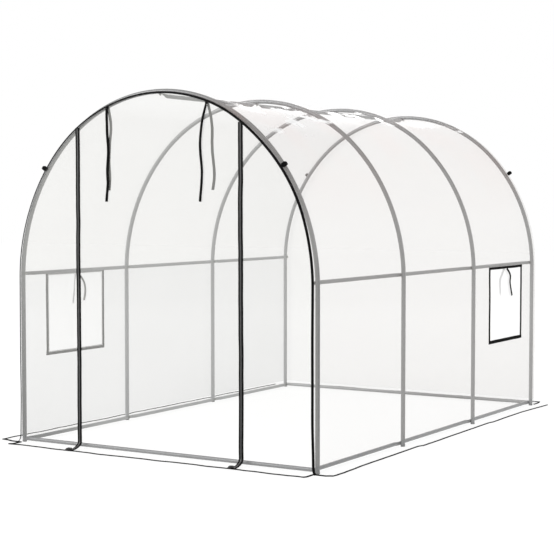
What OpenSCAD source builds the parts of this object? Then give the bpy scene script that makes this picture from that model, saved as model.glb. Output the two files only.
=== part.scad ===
// Walk-in polytunnel greenhouse: four tube hoops joined by a ridge rail, two side rails and a base
// frame, under a film cover with a zipped front door, two roll-up windows and a flap on the ground.
// The origin is on the ground in the middle, +Y runs along the tunnel to the rear, +Z is up.

/* [Frame] */
// Centre of the tunnel to the centre of a leg
half_w = 987.5; // [800:0.5:1300]
// Distance between neighbouring hoops
bay = 991.5; // [700:0.5:1500]
// Height of the straight legs
leg_h = 961; // [750:1:1300]
// Rise of the arch's centre line above the legs
rise = 1045; // [900:1:1400]
// Diameter of the hoop tubes
hoop_d = 25; // [20:0.5:32]
// Diameter of the rails between the hoops
rail_d = 22; // [16:0.5:25]
// Height of the side rails' centre line above the legs' tops
side_rail_rise = 27; // [0:1:80]
// Height of the base rails' centre line above the ground
base_rail_z = 20; // [15:1:40]
// Thickness of a rail's flattened end
tab_t = 3; // [2:0.5:5]
// Width of a rail's flattened end
tab_w = 16; // [12:0.5:20]
// Length of a rail's flattened end
tab_len = 45; // [35:1:70]

/* [Cover] */
// Thickness of the cover film
film_t = 1; // [0.6:0.1:2]
// How far the cover's end sheets stand off the end hoops' centre lines
end_stand = 37; // [20:1:60]
// Width of the flap that lies on the ground
flap_w = 120; // [80:1:250]
// How far the end flaps' ends stand in from the walls' outer faces
flap_inset = 10; // [0:1:40]
// Width of the black binding round the front sheet
binding_w = 13; // [6:0.5:20]
// Depth of the black binding along the tunnel
binding_d = 8; // [6:0.5:20]
// How far the binding's centre line lies inside the cover's outer face
binding_inset = 24.5; // [10:0.5:26]

/* [Door] */
// Distance from the middle of the door to each zip
zip_x = 545; // [350:1:700]
// Width of the zip tape
zip_w = 30; // [20:1:45]
// Thickness of the zip tape
zip_t = 2; // [1:0.5:4]
// How far the zips' ends stop short of the flap's edge
zip_short = 6; // [0:1:30]

/* [Windows] */
// Width of the opening in the wall
window_w = 509; // [300:1:600]
// Height of the opening's upper edge above the legs' tops
window_rise = 5; // [-100:1:7]
// Height of the opening
window_h = 457; // [250:1:460]
// Width of the border at the sides
border_side = 24; // [10:1:35]
// Width of the border below the opening
border_low = 22; // [10:1:40]
// Width of the border above the opening
border_top = 16; // [6:1:20]
// Thickness of the border tape
border_t = 1.5; // [1:0.5:3]

/* [Tie loops] */
// Angle of the tie loops up the arch
loop_angle = 35.3; // [20:0.1:42]
// Width of a tie loop along the tunnel
loop_w = 24; // [15:1:40]
// How far a tie loop stands out from the cover
loop_out = 26; // [15:1:40]
// Thickness of a tie loop
loop_t = 4; // [3:0.5:8]

/* [Hidden] */

$fn = 48;
bays = 3;
// Facets of a full turn of the bows
bow_facets = 128;
// Clearance between pieces whose curved faces meet
gap = 0.3;
// How far a cutting solid runs past what it cuts
past = 1;
hoop_r = hoop_d / 2;
rail_r = rail_d / 2;
first_y = -bays * bay / 2;
last_y = -first_y;
function hoop_y(i) = first_y + i * bay;

// The arch is a haunch arc and a crown arc that share a tangent at this angle
split = 45;
arc_diff = (rise - half_w) / (cos(split) + sin(split) - 1);
haunch_r = half_w + arc_diff * cos(split);
crown_r = rise - arc_diff * sin(split);
haunch_x = half_w - haunch_r;
crown_z = leg_h + rise - crown_r;
apex_z = leg_h + rise;

// The film's outline has flat facets that touch the arcs from outside
facets = 16;
function arc_points(cx, cz, r, from, to) = [
    for (i = [0 : facets - 1])
        let (step = (to - from) / facets, a = from + (i + 0.5) * step, q = r / cos(step / 2))
            [cx + q * cos(a), cz + q * sin(a)]
];
function half_arch(off) = concat(
    arc_points(haunch_x, leg_h, haunch_r + off, 0, split),
    arc_points(0, crown_z, crown_r + off, split, 90)
);
function mirrored(points) = [
    for (i = [len(points) - 1 : -1 : 0]) [-points[i][0], points[i][1]]
];
function arch(off) = concat(half_arch(off), mirrored(half_arch(off)));

// Offsets of the film's two faces from the hoops' centre line
film_in = hoop_r + gap;
film_out = film_in + film_t;
wall_in = half_w + film_in;
wall_out = half_w + film_out;
wall_top = half_arch(film_in)[0][1];
binding_line = film_out - binding_inset;
function wall_x(side) = side > 0 ? wall_in : -wall_out;
front_face = first_y - end_stand;
rear_face = last_y + end_stand;
front_back = front_face + film_t;
rear_front = rear_face - film_t;

// The flattened ends seat beside the hoops, clear of the bows' inward curve
tab_step = 0.5;
tab_past = 10;
tab_split = 1;
tab_overlap = 10;
side_rail_z = leg_h + side_rail_rise;
over_spring = side_rail_rise + tab_w / 2;
bow_lean = haunch_r - sqrt(haunch_r * haunch_r - over_spring * over_spring);
side_seat = half_w - hoop_r - gap - bow_lean * (haunch_r - hoop_r) / haunch_r;
base_seat = half_w - hoop_r - gap;
ridge_seat = apex_z - hoop_r - gap;

flap_half = wall_out - flap_inset;
zip_reach = flap_w - zip_short;
window_z = leg_h + window_rise - window_h;
left_window_y = (hoop_y(0) + hoop_y(1)) / 2;
right_window_y = (hoop_y(2) + hoop_y(3)) / 2;

// Ties: each list holds sideways places, one for each equal step down from the top
tie_d = 15;
door_tie_top = 1921;
door_outer_step = 34.4;
door_inner_step = 32.4;
left_outer = [-333, -334, -333, -332, -331, -328, -325, -324, -326, -329, -331, -330, -328, -331, -335, -338];
left_inner = [-333, -327, -320, -317, -318, -322, -326, -328, -330, -331, -330, -327, -326, -328, -331];
right_outer = [330, 319, 309, 302, 297, 293, 291, 292, 295, 299, 302, 302, 300, 297, 293, 290];
right_inner = [333, 342, 350, 355, 358, 358, 357, 358, 360, 364, 368, 371, 371, 367, 361];
window_tie_top = 966;
window_outer_step = 13;
window_inner_step = 12;
left_wall_outer = [507, 504, 501, 499, 497, 496, 495, 494, 493, 491, 489, 487, 485, 483, 482];
left_wall_inner = [507, 524, 538, 550, 560, 567, 572, 575, 577, 577, 576, 574, 571, 567, 564];
right_wall_outer = [2471, 2495, 2513, 2526, 2533, 2532, 2529, 2528, 2531, 2536, 2542, 2547, 2552, 2558, 2564];
right_wall_inner = [2468, 2458, 2446, 2434, 2421, 2409, 2401, 2399, 2399, 2400, 2401, 2403, 2405, 2406, 2406];
// The window ties' places are counted from the front hoop
tie_origin = -1487;

function door_route(sides, step, y) = [
    for (i = [0 : len(sides) - 1]) [sides[i], y, door_tie_top - i * step]
];
function window_route(sides, step, x) = [
    for (i = [0 : len(sides) - 1]) [x, sides[i] + tie_origin, window_tie_top - i * step]
];

module hoop_legs(i) {
    color("darkgray")
        for (side = [-1, 1])
            translate([side * half_w, hoop_y(i), 0])
                cylinder(d = hoop_d, h = leg_h);
}

module arc_tube(x, y, z, r, from, to) {
    color("darkgray")
        translate([x, y, z])
            rotate([90, 0, 0])
                rotate([0, 0, from])
                    rotate_extrude(angle = to - from, $fn = bow_facets)
                        translate([r, 0])
                            circle(d = hoop_d);
}

module hoop_haunches(i) {
    for (side = [0, 1])
        mirror([side, 0, 0])
            arc_tube(haunch_x, hoop_y(i), leg_h, haunch_r, 0, split);
}

module hoop_crown(i) {
    arc_tube(0, hoop_y(i), crown_z, crown_r, split, 180 - split);
}

// A rail of one bay: its ends are flattened towards +Z, which faces the hoops
module rail_piece(from, to) {
    tube_from = from + tab_len - tab_overlap;
    tube_to = to - tab_len + tab_overlap;
    translate([0, tube_from, -tab_step - rail_r])
        rotate([-90, 0, 0])
            cylinder(d = rail_d, h = tube_to - tube_from);
    for (y = [from, to - tab_len])
        translate([-tab_w / 2, y, -tab_t])
            cube([tab_w, tab_len, tab_t]);
}

module rail() {
    color("gray")
        for (i = [0 : bays - 1])
            rail_piece(
                i == 0 ? first_y - tab_past : hoop_y(i) + tab_split / 2,
                i == bays - 1 ? last_y + tab_past : hoop_y(i + 1) - tab_split / 2
            );
}

module ridge_rail() {
    translate([0, 0, ridge_seat])
        rail();
}

module wall_rail(side, seat, z) {
    translate([side * seat, 0, z])
        rotate([0, side * 90, 0])
            rail();
}

// The end rails butt against the side rails' flattened ends
module end_rail(y) {
    reach = base_seat - tab_t - gap;
    color("gray")
        translate([-reach, y, base_rail_z])
            rotate([0, 90, 0])
                cylinder(d = rail_d, h = 2 * reach);
}

module along_tunnel(from, to) {
    translate([0, to, 0])
        rotate([90, 0, 0])
            linear_extrude(height = to - from)
                children();
}

module end_outline(off) {
    polygon(concat([[-half_w - off, 0], [half_w + off, 0]], arch(off)));
}

module roof_cover() {
    outer = arch(film_out);
    inner = arch(film_in);
    color("whitesmoke", 0.5)
        along_tunnel(front_back, rear_front)
            polygon(concat(outer, [for (i = [len(inner) - 1 : -1 : 0]) inner[i]]));
}

module wall(side, window_y) {
    color("whitesmoke", 0.5)
        difference() {
            translate([wall_x(side), front_back, 0])
                cube([film_t, rear_front - front_back, wall_top]);
            translate([wall_x(side) - past, window_y - window_w / 2, window_z])
                cube([film_t + 2 * past, window_w, window_h]);
        }
}

module window_panel(side, window_y) {
    color("aliceblue", 0.4)
        translate([wall_x(side), window_y - window_w / 2, window_z])
            cube([film_t, window_w, window_h]);
}

module window_border(side, window_y) {
    color("dimgray")
        translate([side > 0 ? wall_out : -wall_out - border_t, window_y, window_z])
            difference() {
                translate([0, -window_w / 2 - border_side, -border_low])
                    cube([border_t, window_w + 2 * border_side, window_h + border_low + border_top]);
                translate([-past, -window_w / 2, 0])
                    cube([border_t + 2 * past, window_w, window_h]);
            }
}

module end_sheet(face) {
    along_tunnel(face, face + film_t)
        end_outline(film_out);
}

// The part of the front sheet between two places across the tunnel
module front_strip(from, to) {
    color("whitesmoke", 0.5)
        intersection() {
            end_sheet(front_face);
            translate([from, front_face - past, -past])
                cube([to - from, film_t + 2 * past, apex_z + hoop_d]);
        }
}

module rear_panel() {
    color("whitesmoke", 0.5)
        end_sheet(rear_front);
}

module end_flap(from) {
    color("white", 0.7)
        translate([-flap_half, from, 0])
            cube([2 * flap_half, flap_w, film_t]);
}

module side_flap(from) {
    color("white", 0.7)
        translate([from, front_back, 0])
            cube([flap_w, rear_front - front_back, film_t]);
}

// The zip runs down the front sheet and out over the flap
module door_zip(x) {
    color("black")
        union() {
            intersection() {
                along_tunnel(front_face - zip_t, front_face)
                    end_outline(binding_line - binding_w / 2);
                translate([x - zip_w / 2, front_face - zip_t - past, film_t])
                    cube([zip_w, zip_t + 2 * past, apex_z]);
            }
            translate([x - zip_w / 2, front_face - zip_reach, film_t])
                cube([zip_w, zip_reach, zip_t]);
        }
}

module front_binding() {
    color("black")
        difference() {
            along_tunnel(front_face - binding_d, front_face)
                end_outline(binding_line + binding_w / 2);
            along_tunnel(front_face - binding_d - past, front_face + past)
                end_outline(binding_line - binding_w / 2);
            translate([-2 * half_w, front_face - binding_d - past, -past])
                cube([4 * half_w, binding_d + 2 * past, film_t + past]);
        }
}

module tie_loops() {
    seat = (haunch_r + film_out) / cos(split / facets / 2);
    color("black")
        for (side = [0, 1], end = [0, 1])
            mirror([side, 0, 0])
                translate([haunch_x, end == 0 ? front_back : rear_front - loop_w, leg_h])
                    rotate([0, -loop_angle, 0])
                        translate([seat, 0, -loop_t / 2])
                            cube([loop_out, loop_w, loop_t]);
}

// A round tube swept along points that lie in one plane, with flat ends
module swept_tube(points, d, normal) {
    sides = 8;
    n = len(points);
    rings = [
        for (i = [0 : n - 1])
            let (
                t = points[min(i + 1, n - 1)] - points[max(i - 1, 0)],
                v = cross(normal, t / norm(t))
            )
                for (k = [0 : sides - 1])
                    points[i] + d / 2 * (cos(k * 360 / sides) * v + sin(k * 360 / sides) * normal)
    ];
    faces = concat(
        [[for (k = [0 : sides - 1]) k]],
        [[for (k = [sides - 1 : -1 : 0]) (n - 1) * sides + k]],
        [
            for (i = [0 : n - 2], k = [0 : sides - 1], half = [0, 1])
                let (
                    p = i * sides + k,
                    q = i * sides + (k + 1) % sides
                )
                    half == 0 ? [p, p + sides, q + sides] : [p, q + sides, q]
        ]
    );
    polyhedron(points = rings, faces = faces, convexity = 4);
}

module door_tie_outer(sides) {
    color("black")
        swept_tube(
            door_route(sides, door_outer_step, front_face - gap - tie_d / 2),
            tie_d, [0, 1, 0]
        );
}

module door_tie_inner(sides) {
    color("dimgray")
        swept_tube(
            door_route(sides, door_inner_step, front_back + gap + tie_d / 2),
            tie_d, [0, 1, 0]
        );
}

module window_tie_outer(side, sides) {
    color("black")
        swept_tube(
            window_route(sides, window_outer_step, side * (wall_out + border_t + gap + tie_d / 2)),
            tie_d, [1, 0, 0]
        );
}

module window_tie_inner(side, sides) {
    color("dimgray")
        swept_tube(
            window_route(sides, window_inner_step, side * (wall_in - gap - tie_d / 2)),
            tie_d, [1, 0, 0]
        );
}

hoop_legs(0);  // hoop_1_legs
hoop_legs(1);  // hoop_2_legs
hoop_legs(2);  // hoop_3_legs
hoop_legs(3);  // hoop_4_legs
hoop_haunches(0);  // hoop_1_haunches
hoop_haunches(1);  // hoop_2_haunches
hoop_haunches(2);  // hoop_3_haunches
hoop_haunches(3);  // hoop_4_haunches
hoop_crown(0);  // hoop_1_crown
hoop_crown(1);  // hoop_2_crown
hoop_crown(2);  // hoop_3_crown
hoop_crown(3);  // hoop_4_crown
ridge_rail();
wall_rail(-1, side_seat, side_rail_z);  // left_side_rail
wall_rail(1, side_seat, side_rail_z);  // right_side_rail
wall_rail(-1, base_seat, base_rail_z);  // left_base_rail
wall_rail(1, base_seat, base_rail_z);  // right_base_rail
end_rail(first_y);  // front_base_rail
end_rail(last_y);  // rear_base_rail
roof_cover();
wall(-1, left_window_y);  // left_wall
wall(1, right_window_y);  // right_wall
front_strip(-wall_out - past, -zip_x);  // front_left_panel
front_strip(zip_x, wall_out + past);  // front_right_panel
front_strip(-zip_x, zip_x);  // door_panel
rear_panel();
window_panel(-1, left_window_y);  // left_window
window_panel(1, right_window_y);  // right_window
window_border(-1, left_window_y);  // left_window_border
window_border(1, right_window_y);  // right_window_border
end_flap(front_face - flap_w);  // front_flap
end_flap(rear_face);  // rear_flap
side_flap(-wall_out - flap_w);  // left_flap
side_flap(wall_out);  // right_flap
door_zip(-zip_x);  // left_zip
door_zip(zip_x);  // right_zip
front_binding();
tie_loops();
door_tie_outer(left_outer);  // left_door_tie_outer
door_tie_inner(left_inner);  // left_door_tie_inner
door_tie_outer(right_outer);  // right_door_tie_outer
door_tie_inner(right_inner);  // right_door_tie_inner
window_tie_outer(-1, left_wall_outer);  // left_window_tie_outer
window_tie_inner(-1, left_wall_inner);  // left_window_tie_inner
window_tie_outer(1, right_wall_outer);  // right_window_tie_outer
window_tie_inner(1, right_wall_inner);  // right_window_tie_inner
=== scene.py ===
"""Looks of the walk-in polytunnel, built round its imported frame. Metres; +Y to the rear, +Z up."""
from math import copysign, cos, exp, pi, radians, sin, sqrt, tau

import bmesh
import bpy
from mathutils import Matrix, Vector, noise

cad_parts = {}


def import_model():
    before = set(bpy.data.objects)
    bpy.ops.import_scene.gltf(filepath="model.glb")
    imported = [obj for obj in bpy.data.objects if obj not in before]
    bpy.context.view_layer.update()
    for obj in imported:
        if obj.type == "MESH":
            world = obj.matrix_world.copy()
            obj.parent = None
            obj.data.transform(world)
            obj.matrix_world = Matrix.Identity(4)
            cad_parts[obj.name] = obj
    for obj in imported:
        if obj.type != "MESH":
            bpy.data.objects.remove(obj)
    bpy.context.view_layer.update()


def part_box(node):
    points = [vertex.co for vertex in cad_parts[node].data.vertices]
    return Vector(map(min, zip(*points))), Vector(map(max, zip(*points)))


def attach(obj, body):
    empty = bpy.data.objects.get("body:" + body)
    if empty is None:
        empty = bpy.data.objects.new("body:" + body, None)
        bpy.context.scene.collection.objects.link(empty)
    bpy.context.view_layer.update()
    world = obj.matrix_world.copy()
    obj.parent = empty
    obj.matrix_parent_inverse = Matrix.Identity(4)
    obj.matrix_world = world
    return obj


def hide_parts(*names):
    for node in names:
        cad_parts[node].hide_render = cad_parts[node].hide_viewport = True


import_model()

# ---------------- sizes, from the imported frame


def low(node):
    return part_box(node)[0]


def high(node):
    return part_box(node)[1]


def middle(node, axis):
    return (getattr(low(node), axis) + getattr(high(node), axis)) / 2


def span(node, axis):
    return getattr(high(node), axis) - getattr(low(node), axis)


SIDES = ((-1, "left"), (1, "right"))
HOOPS = (1, 2, 3, 4)
HOOP_Y = [middle(f"hoop_{i}_legs", "y") for i in HOOPS]
TUBE_R = span("hoop_1_legs", "y") / 2
HALF_W = high("hoop_1_legs").x - TUBE_R
LEG_H = high("hoop_1_legs").z
RISE = high("hoop_1_crown").z - TUBE_R - LEG_H

# The arch is a haunch arc and a crown arc that meet at this angle
SPLIT = radians(45)
GROWTH = (RISE - HALF_W) / (cos(SPLIT) + sin(SPLIT) - 1)
HAUNCH_R = HALF_W + GROWTH * cos(SPLIT)
CROWN_R = RISE - GROWTH * sin(SPLIT)
HAUNCH_X = HALF_W - HAUNCH_R
CROWN_Z = LEG_H + RISE - CROWN_R
CROWN_LEN = CROWN_R * (pi / 2 - SPLIT)
ARCH_LEN = CROWN_LEN + HAUNCH_R * SPLIT
HALF_LEN = ARCH_LEN + LEG_H
APEX_Z = LEG_H + RISE

WALL_TOP = high("left_wall").z
SEAM = ARCH_LEN - (WALL_TOP - LEG_H)
FRONT_Y = middle("door_panel", "y")
REAR_Y = middle("rear_panel", "y")
WALL_X = high("right_wall").x
FLAP_W = high("right_flap").x - WALL_X
ZIP_X = high("door_panel").x
ZIP_W = span("right_zip", "x")
ZIP_END = low("right_zip").y
RAIL_R = span("front_base_rail", "z") / 2
BASE_RAIL_Z = middle("left_base_rail", "z")
SIDE_RAIL_Z = middle("left_side_rail", "z")
UP = Vector((0, 0, 1))
REARWARD = Vector((0, 1, 0))

# ---------------- small helpers


def blend(a, b, share):
    return a + (b - a) * share


def ease(share):
    """0 to 1 with level ends."""
    share = min(1, max(0, share))
    return share * share * (3 - 2 * share)


def wave(seed, size, *at):
    """Smooth noise from about -1 to 1, whose bumps are some size metres long."""
    spot = [a / size for a in at] + [0.0] * (3 - len(at))
    return noise.noise(Vector(spot) + Vector((17.3, 5.9, 11.1)) * seed)


def steps(step, *breaks):
    """Even places between the breaks, at most step apart, with every break among them."""
    places = [breaks[0]]
    for start, end in zip(breaks, breaks[1:]):
        count = max(1, round((end - start) / step + 0.49))
        places += [blend(start, end, (k + 1) / count) for k in range(count)]
    return places


def smooth_line(points, parts):
    """The points joined by a smooth curve, each stretch cut into that many parts."""
    ends = [2 * points[0] - points[1], *points, 2 * points[-1] - points[-2]]
    line = []
    for a, b, c, d in zip(ends, ends[1:], ends[2:], ends[3:]):
        for k in range(parts):
            t = k / parts
            line.append(
                0.5 * (2 * b + (c - a) * t + (2 * a - 5 * b + 4 * c - d) * t * t
                       + (3 * b - a - 3 * c + d) * t ** 3)
            )
    return line + [points[-1]]


def length_of(line):
    return sum((b - a).length for a, b in zip(line, line[1:]))


def running(line):
    """The distance from the line's start to each of its points."""
    total = [0.0]
    for a, b in zip(line, line[1:]):
        total.append(total[-1] + (b - a).length)
    return total


def marks(line, start, pitch, spare=0.0):
    """Even marks from start to spare short of the end, as (stretch of the line, share of it)."""
    runs = running(line)
    at, k = start, 0
    while at < runs[-1] - spare:
        while runs[k + 1] < at:
            k += 1
        yield k, (at - runs[k]) / (runs[k + 1] - runs[k])
        at += pitch


def resampled(line, share):
    """The point that share of the way along a line of evenly spaced points."""
    place = share * (len(line) - 1)
    k = min(int(place), len(line) - 2)
    return line[k].lerp(line[k + 1], place - k)


def quarter_turn(parts):
    """Even angles from 0 to a right angle."""
    return [pi / 2 * k / parts for k in range(parts + 1)]


def ellipse(a, b, sides):
    return [(a * cos(tau * k / sides), b * sin(tau * k / sides)) for k in range(sides)]


def rounded(a, b, corner, sides=3):
    """A rectangle of half sizes a and b with round corners."""
    return [
        (sx * (a - corner) + corner * cos(angle), sy * (b - corner) + corner * sin(angle))
        for sx, sy, start in ((1, 1, 0), (-1, 1, 1), (-1, -1, 2), (1, -1, 3))
        for angle in (pi / 2 * (start + k / sides) for k in range(sides + 1))
    ]


METRES = "metres"
SHARP = radians(38)


class Shape:
    """Points and faces gathered for one piece, with a map in metres for its weave and grain."""

    def __init__(self):
        self.points, self.faces, self.maps = [], [], []

    def grid(self, rows, wrap=False, keep=lambda i, j: True):
        """Faces between rows of points; wrap joins the ends of each row."""
        start, count = len(self.points), len(rows[0])
        u = running([*rows[0], rows[0][0]])
        v = running([row[0] for row in rows])
        for row in rows:
            self.points += row
        for i in range(len(rows) - 1):
            for j in range(count if wrap else count - 1):
                if keep(i, j):
                    corners = ((i, j), (i, j + 1), (i + 1, j + 1), (i + 1, j))
                    self.faces.append([start + row * count + column % count for row, column in corners])
                    self.maps.append([(u[column], v[row]) for row, column in corners])
        return self

    def lid(self, ring, back=False):
        """A flat face over a ring, turned the other way round for a solid's back."""
        start = len(self.points)
        self.points += ring
        order = range(len(ring) - 1, -1, -1) if back else range(len(ring))
        self.faces.append([start + k for k in order])
        self.maps.append([((ring[k] - ring[0]).length, 0.0) for k in order])

    def skin(self, rings):
        """A closed solid through rings of points, with a lid at each end."""
        self.grid(rings, wrap=True)
        self.lid(rings[0], back=True)
        self.lid(rings[-1])
        return self

    def sweep(self, line, outward, outline):
        """A closed bar along a line. outline(i) gives each ring's (outward, sideways) places."""
        rings = []
        for i, point in enumerate(line):
            ahead = (line[min(i + 1, len(line) - 1)] - line[max(i - 1, 0)]).normalized()
            side = ahead.cross(outward[i]).normalized()
            up = side.cross(ahead)
            rings.append([point + a * up + b * side for a, b in outline(i)])
        return self.skin(rings)

    def lathe(self, place, axis, profile, sides=20):
        """A turned solid: the profile's (distance along the axis, radius), ends closed."""
        side = axis.orthogonal().normalized()
        turns = [Matrix.Rotation(tau * k / sides, 3, axis) for k in range(sides)]
        return self.skin([
            [place + axis * along + turn @ side * radius for turn in turns] for along, radius in profile
        ])

    def block(self, place, x, y, z):
        """A box round a place; x, y and z are its three half edges."""
        corners = ((-1, -1), (1, -1), (1, 1), (-1, 1))
        return self.skin([[place + k * z + a * x + b * y for a, b in corners] for k in (-1, 1)])

    def piece(self, name, material, slot, *nodes):
        """The finished piece, riding on the tunnel in place of the named CAD nodes."""
        mesh = bpy.data.meshes.new(name)
        mesh.from_pydata([tuple(p) for p in self.points], [], self.faces)
        layer = mesh.uv_layers.new(name=METRES)
        layer.data.foreach_set("uv", [c for face in self.maps for corner in face for c in corner])
        work = bmesh.new()
        work.from_mesh(mesh)
        bmesh.ops.remove_doubles(work, verts=work.verts, dist=1e-6)
        bmesh.ops.dissolve_degenerate(work, edges=work.edges, dist=1e-6)
        bmesh.ops.recalc_face_normals(work, faces=work.faces)
        work.to_mesh(mesh)
        work.free()
        mesh.shade_smooth()
        mesh.set_sharp_from_angle(angle=SHARP)
        mesh.materials.append(material)
        made = bpy.data.objects.new(name, mesh)
        bpy.context.scene.collection.objects.link(made)
        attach(made, "root")
        if nodes:
            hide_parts(*nodes)
        return made


# ---------------- the camera


def camera():
    """The view whose hoops, rails and door lie as in the reference."""
    data = bpy.data.cameras.new("view")
    data.lens = 94.43
    data.sensor_width = 36
    made = bpy.data.objects.new("view", data)
    made.location = (4.6685, -7.9562, 1.4052)
    made.rotation_euler = (radians(87.031), 0, radians(31.249))
    bpy.context.scene.collection.objects.link(made)
    bpy.context.scene.camera = made


camera()

# ---------------- materials


class Nodes:
    """Short ways to add nodes to a tree."""

    def __init__(self, tree):
        self.tree = tree

    def add(self, kind, inputs=(), **settings):
        """A node; inputs are (socket, value or another node's output)."""
        made = self.tree.nodes.new(f"ShaderNode{kind}")
        for name, value in settings.items():
            setattr(made, name, value)
        for socket, value in dict(inputs).items():
            self.set(made.inputs[socket], value)
        return made

    def set(self, socket, value):
        if isinstance(value, bpy.types.NodeSocket):
            self.tree.links.new(value, socket)
        else:
            socket.default_value = value

    def math(self, kind, *values):
        """Values or outputs joined by one operation, from the first to the last."""
        total = values[0]
        for value in values[1:]:
            total = self.add("Math", {0: total, 1: value}, operation=kind).outputs[0]
        return total

    def plus(self, *values):
        return self.math("ADD", *values)

    def times(self, *values):
        return self.math("MULTIPLY", *values)


class Material(Nodes):
    """A material's nodes round one Principled shader."""

    def __init__(self, name, **values):
        self.material = bpy.data.materials.new(name)
        self.material.use_nodes = True
        super().__init__(self.material.node_tree)
        self.shader = self.tree.nodes["Principled BSDF"]
        self.looks(**values)

    def place(self):
        return self.add("TexCoord").outputs["Object"]

    def metres(self):
        return self.add("UVMap", uv_map=METRES).outputs["UV"]

    def noise(self, scale, detail=3.0, where=None, stretch=None):
        where = where or self.place()
        if stretch:
            where = self.add("Mapping", {"Vector": where, "Scale": stretch}).outputs["Vector"]
        return self.add("TexNoise", {"Vector": where, "Scale": scale, "Detail": detail}).outputs["Fac"]

    def ramp(self, factor, *stops):
        """Colours or values along a factor, as (place, colour)."""
        made = self.add("ValToRGB", {"Fac": factor})
        elements = made.color_ramp.elements
        for k, (place, colour) in enumerate(stops):
            element = elements[k] if k < 2 else elements.new(place)
            element.position = place
            element.color = (*colour, 1) if hasattr(colour, "__len__") else (colour, colour, colour, 1)
        return made.outputs["Color"]

    def mix(self, share, a, b):
        """A colour between two, each a colour or another node's output."""
        sides = [c if isinstance(c, bpy.types.NodeSocket) else (*c, 1) for c in (a, b)]
        made = self.add("MixRGB", {"Fac": share, "Color1": sides[0], "Color2": sides[1]})
        return made.outputs["Color"]

    def between(self, value, from_low, from_high, to_low, to_high):
        """A value that goes from one range to another, and stays within it."""
        return self.add("MapRange", {
            "Value": value, "From Min": from_low, "From Max": from_high,
            "To Min": to_low, "To Max": to_high,
        }).outputs["Result"]

    def bump(self, height, depth, strength=1.0):
        made = self.add("Bump", {"Height": height, "Distance": depth, "Strength": strength})
        self.looks(Normal=made.outputs["Normal"])

    def looks(self, **values):
        """Sets the shader's sockets, with _ for a space in a name."""
        for socket, value in values.items():
            self.set(self.shader.inputs[socket.replace("_", " ")], value)


# How deep the film's creases are, and the share of that in its pimples
CREASE_DEPTH = 0.006
PIMPLES = 0.06
# Painted shade near the ground: how high over the ground it reaches, its grey, how much it tints and
# clouds the film
GROUND_SHADE_TOP = 0.7
GROUND_SHADE_GREY = (0.36, 0.36, 0.355)
GROUND_SHADE_TINT = 0.75
GROUND_SHADE_HAZE = 0.09
# The roof's crest, tinted from the first height up to the second, with painted white highlight streaks
# near its top
CREST_FROM, CREST_FULL = LEG_H + 0.3, APEX_Z - 0.25
CREST_GREY = (0.66, 0.60, 0.565)
CREST_PINK = (0.72, 0.53, 0.48)
# Painted highlights: where the white streaks start and fade, how white they are and how much they cloud
# the film
HIGHLIGHTS_FROM, HIGHLIGHTS_FULL = APEX_Z - 0.16, APEX_Z - 0.11
HIGHLIGHTS_FADE, HIGHLIGHTS_FADED = APEX_Z - 0.085, APEX_Z - 0.05
FIRST_BAY_DROP = 0.12
HIGHLIGHT_WHITE = (0.98, 0.98, 0.98)
HIGHLIGHT_HAZE = 0.9
# Where painted light pales the tubes, by each axis, as (from, to, share there, share here)
LEFT_PAINTED_LIGHT = {"X": (-0.8, 0.3, 1, 0), "Y": (-1.35, -0.8, 0, 1), "Z": (0.5, 1.3, 1, 0.45)}
RIGHT_PAINTED_LIGHT = {"X": (0.5, 0.9, 0, 1), "Y": (-1.5, 1.4, 0.06, 0.5), "Z": (0.7, 1.3, 1, 0.15)}
PAINTED_LIGHT_GAIN = 2.2
# Scales of a wave texture that give it one thread a metre, straight and aslant
STRAIGHT_THREADS = 1 / 6.3
TWILL_THREADS = 1 / 9


def crest_looks(n, spot, tone, alpha):
    """The roof's top: pinkish grey patches, and painted white highlight streaks where its creases would
    catch the light.
    """
    sideways, along, height = (spot[axis] for axis in "XYZ")
    patches = n.ramp(n.noise(2.1, 2), (0.42, CREST_GREY), (0.56, CREST_PINK))
    share = n.times(n.between(height, CREST_FROM, CREST_FULL, 0, 1), n.between(sideways, -0.2, 0.1, 0, 1))
    tone = n.mix(share, tone, patches)
    alpha = n.times(alpha, n.between(height, APEX_Z - 0.12, APEX_Z - 0.03, 1, 0.35))
    # Painted highlight: a white mask near the ridge, lower in the first bay, only right of the middle and
    # behind the front hoop
    raised = n.plus(height, n.between(along, HOOP_Y[1] - 0.4, HOOP_Y[1] + 0.1, FIRST_BAY_DROP, 0))
    rising = n.between(raised, HIGHLIGHTS_FROM, HIGHLIGHTS_FULL, -0.3, 0.0)
    fading = n.between(height, HIGHLIGHTS_FADE, HIGHLIGHTS_FADED, 0, -0.12)
    nearer = n.between(along, HOOP_Y[1], HOOP_Y[2], 0.05, 0)
    streaks = n.plus(n.noise(1, 6, stretch=(8, 4, 8)), n.plus(rising, fading, nearer))
    lit_side = n.times(n.between(along, HOOP_Y[0] + 0.05, HOOP_Y[0] + 0.2, 0, 1),
                       n.between(sideways, 0.16, 0.26, 0, 1))
    painted_highlight = n.times(n.between(streaks, 0.54, 0.61, 0, 1), lit_side)
    return n.mix(painted_highlight, tone, HIGHLIGHT_WHITE), n.math("MAXIMUM", alpha, n.times(painted_highlight, HIGHLIGHT_HAZE))


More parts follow.
